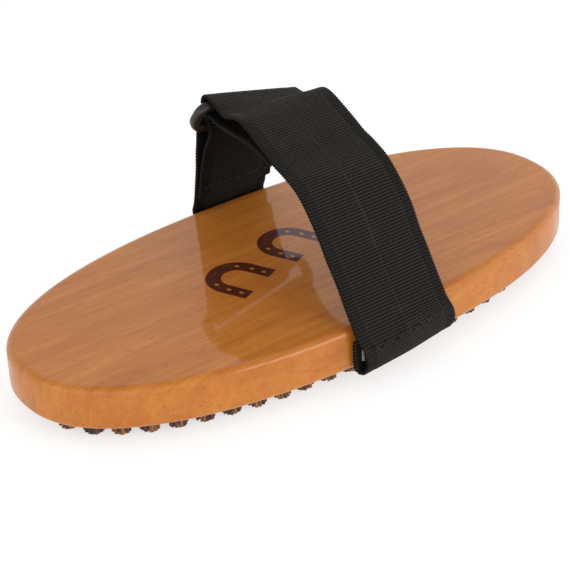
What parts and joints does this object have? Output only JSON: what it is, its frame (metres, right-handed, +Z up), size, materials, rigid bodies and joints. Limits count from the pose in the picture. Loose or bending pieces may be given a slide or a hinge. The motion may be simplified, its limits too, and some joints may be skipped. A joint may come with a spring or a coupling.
{
  "type": "horse body brush",
  "caption": "Oval wooden grooming brush with short stiff fibre tufts and an adjustable black webbing hand strap over the top.",
  "frame": {"origin": "on the plane of the tuft tips, under the middle of the board", "axes": "+X along the board's length, +Y across it towards the strap's slide loop, +Z up from the tufts to the strap"},
  "size_m": [0.215, 0.1084, 0.0714],
  "materials": {
    "wood": "clear gloss lacquer on beech",
    "fibre": "coarse stiff plant fibre",
    "webbing": "ribbed woven nylon",
    "thread": "polyester sewing thread",
    "steel": "bright staple wire",
    "plastic": "moulded, glossy"
  },
  "bodies": {
    "brush": {"board": "wood", "far_loop_seam": "thread", "far_seam": "thread", "far_staple_1": "steel", "far_staple_2": "steel", "far_staple_3": "steel", "far_strap": "webbing", "hand_strap": "webbing", "near_seam": "thread", "near_staple_1": "steel", "near_staple_2": "steel", "near_staple_3": "steel", "tufts_ring1_01": "fibre", "tufts_ring1_02": "fibre", "tufts_ring1_03": "fibre", "tufts_ring1_04": "fibre", "tufts_ring1_05": "fibre", "tufts_ring1_06": "fibre", "tufts_ring1_07": "fibre", "tufts_ring1_08": "fibre", "tufts_ring1_09": "fibre", "tufts_ring1_10": "fibre", "tufts_ring1_11": "fibre", "tufts_ring2_01": "fibre", "tufts_ring2_02": "fibre", "tufts_ring2_03": "fibre", "tufts_ring2_04": "fibre", "tufts_ring2_05": "fibre", "tufts_ring2_06": "fibre", "tufts_ring2_07": "fibre", "tufts_ring2_08": "fibre", "tufts_ring3_01": "fibre", "tufts_ring3_02": "fibre", "tufts_ring3_03": "fibre", "tufts_ring3_04": "fibre", "tufts_ring3_05": "fibre", "tufts_ring3_06": "fibre", "tufts_ring3_07": "fibre", "tufts_ring4_01": "fibre", "tufts_ring4_02": "fibre", "tufts_ring4_03": "fibre", "tufts_ring4_04": "fibre", "tufts_ring4_05": "fibre", "tufts_ring4_06": "fibre", "tufts_ring5_01": "fibre", "tufts_ring5_02": "fibre"},
    "adjuster": {"slide_loop": "plastic"}
  },
  "joints": [
    {"name": "loop_slide", "type": "slide", "parent": "brush", "child": "adjuster", "axis": [0, -0.4725, 0.8813], "range_m": [-0.012, 0.004], "deforming": ["hand_strap", "far_strap"]}
  ]
}
